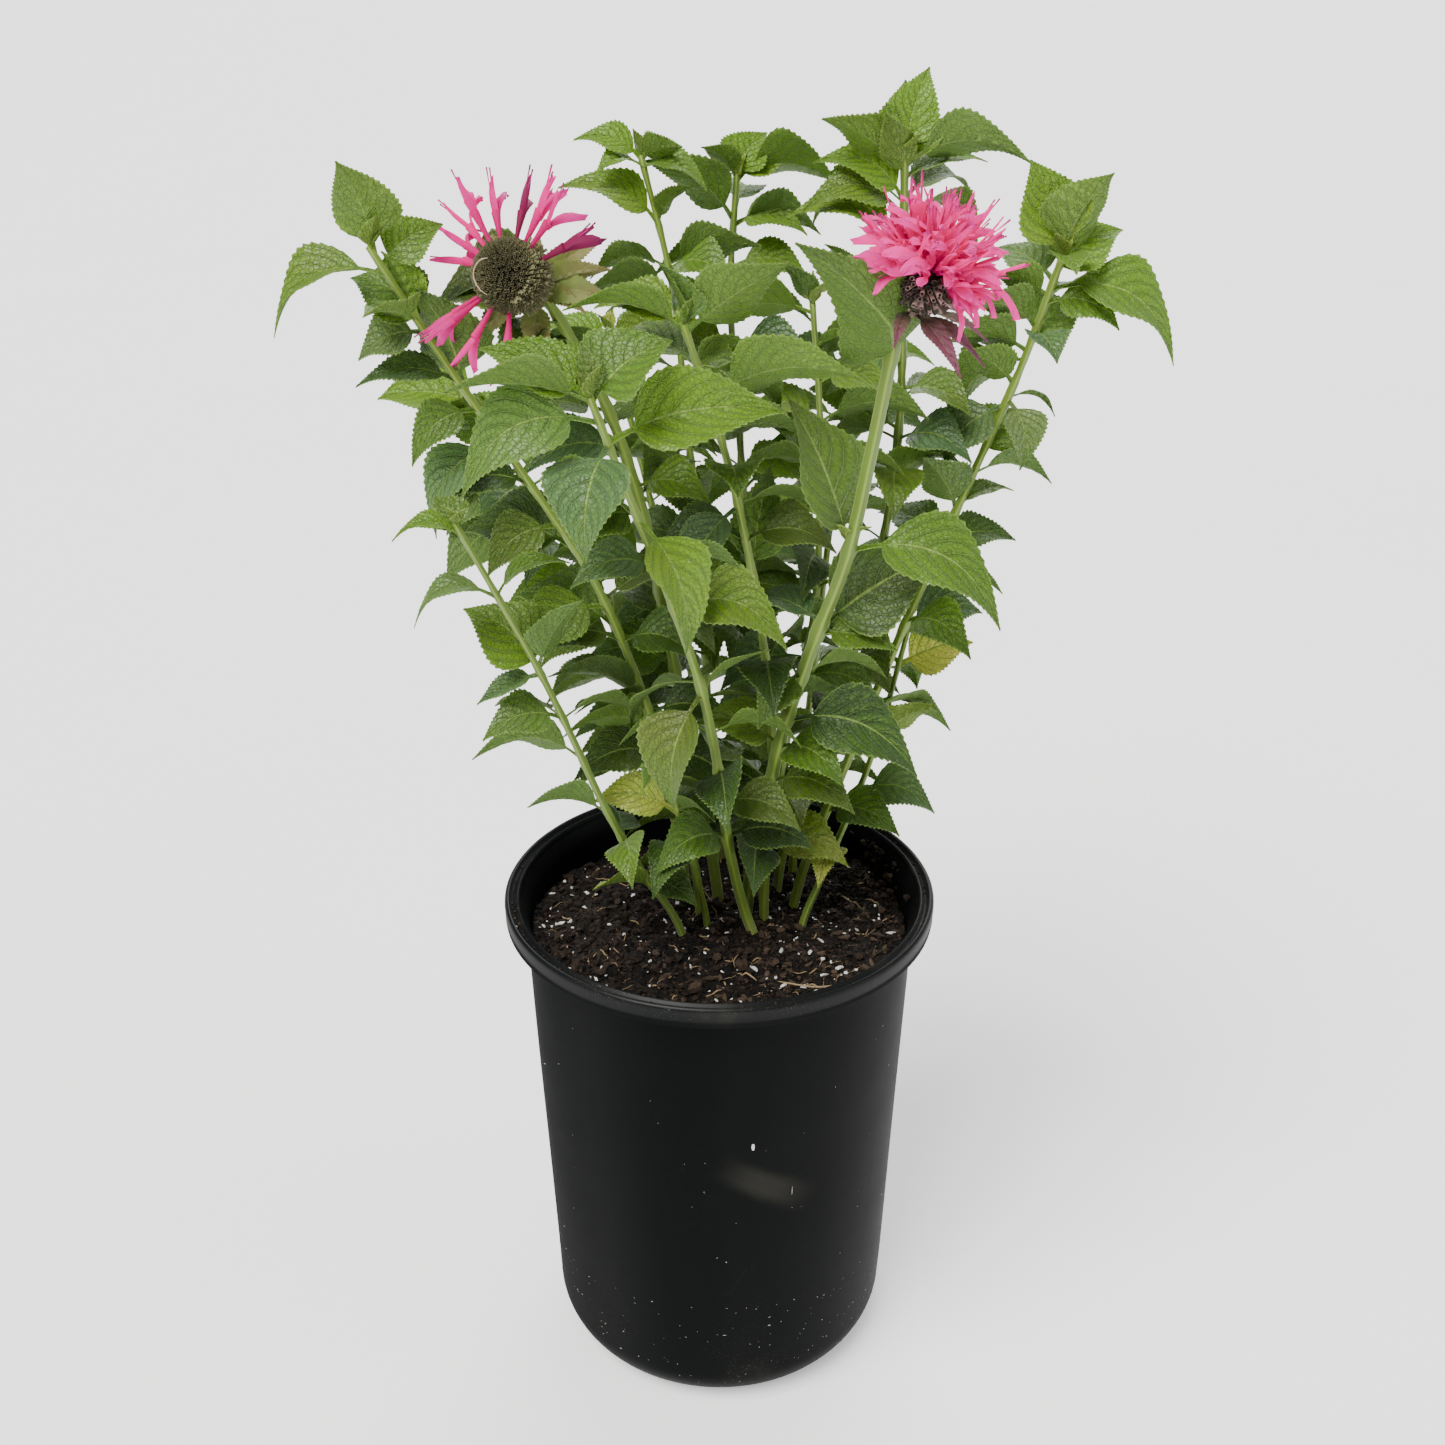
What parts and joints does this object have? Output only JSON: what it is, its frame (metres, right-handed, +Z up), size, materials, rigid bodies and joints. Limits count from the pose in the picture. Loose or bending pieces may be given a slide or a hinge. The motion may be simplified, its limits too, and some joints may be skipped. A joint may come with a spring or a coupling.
{
  "type": "potted bee balm",
  "caption": "Bee balm in a round black nursery pot, with leafy square stems, an open pink flower head and a spent seed head",
  "frame": {"origin": "centre of the pot's flat bottom, on the ground plane", "axes": "+X is right and -Y is towards the viewer in the picture's view, +Z is up"},
  "size_m": [0.332, 0.2231, 0.5541],
  "materials": {
    "pot": "satin moulded black plastic with light scratches and dust",
    "soil": "damp crumbly peat mix with white perlite",
    "foliage": "soft green leaves with sunk veins and a bluish sheen, on lighter green square stems",
    "florets": "thin matte hot pink petals",
    "calyx": "dark green and purple, finely ribbed",
    "bloom_bracts": "mauve brown thin bracts with green bases",
    "seed_head": "dry olive brown tubes with fading pink florets",
    "seed_bracts": "olive green bracts with dark tips"
  },
  "bodies": {
    "root": {"pot": "pot", "soil": "soil", "bloom_florets": "florets", "bloom_calyx": "calyx", "bloom_bracts": "bloom_bracts", "seed_head": "seed_head", "seed_head_bracts": "seed_bracts", "shoot_front_left": "foliage", "shoot_center_left": "foliage", "shoot_pink": "foliage", "shoot_center": "foliage", "shoot_seed": "foliage", "shoot_left": "foliage", "shoot_right": "foliage", "shoot_mid_right": "foliage", "shoot_top_right": "foliage", "shoot_top_mid": "foliage", "shoot_top_left": "foliage", "shoot_back_left": "foliage", "shoot_back_right": "foliage", "shoot_back": "foliage", "shoot_low_right": "foliage", "shoot_low_front": "foliage"}
  },
  "joints": []
}
